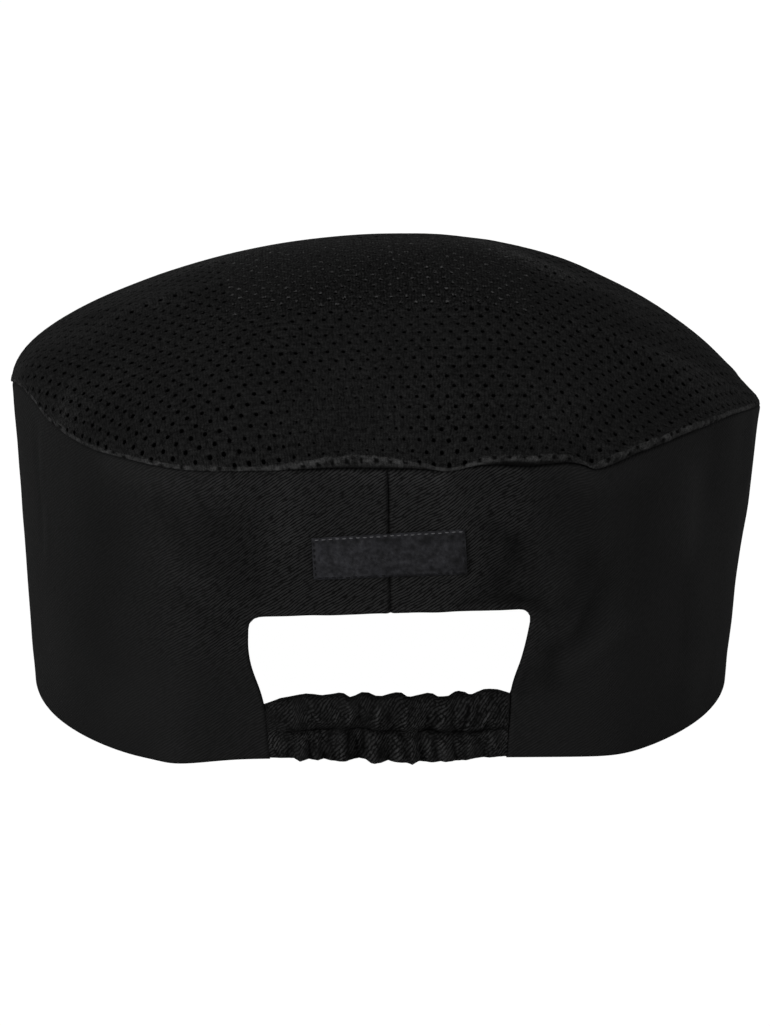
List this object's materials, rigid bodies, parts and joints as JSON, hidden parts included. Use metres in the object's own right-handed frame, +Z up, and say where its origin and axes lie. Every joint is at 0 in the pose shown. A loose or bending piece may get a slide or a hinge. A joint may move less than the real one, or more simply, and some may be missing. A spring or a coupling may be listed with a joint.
{
  "type": "chef hat",
  "caption": "Low black chef's cap with a flared twill wall, a puffed mesh crown and a gathered back below a window; worn on the head.",
  "frame": {"origin": "centre of the cap's bounding box, on the surface that its rim rests on", "axes": "+Z up; -Y towards the wearer's front, +Y towards the gathered back; +X towards the wearer's left"},
  "size_m": [0.1968, 0.1975, 0.1152],
  "materials": {
    "twill": "matt black twill, diagonal weave",
    "knit_mesh": "matt black knit with small round holes",
    "label_weave": "dense charcoal woven tape, pale stitches on its edge"
  },
  "bodies": {
    "root": {"side_band": "twill", "crown": "knit_mesh", "elastic_casing": "twill", "woven_label": "label_weave"}
  },
  "joints": []
}
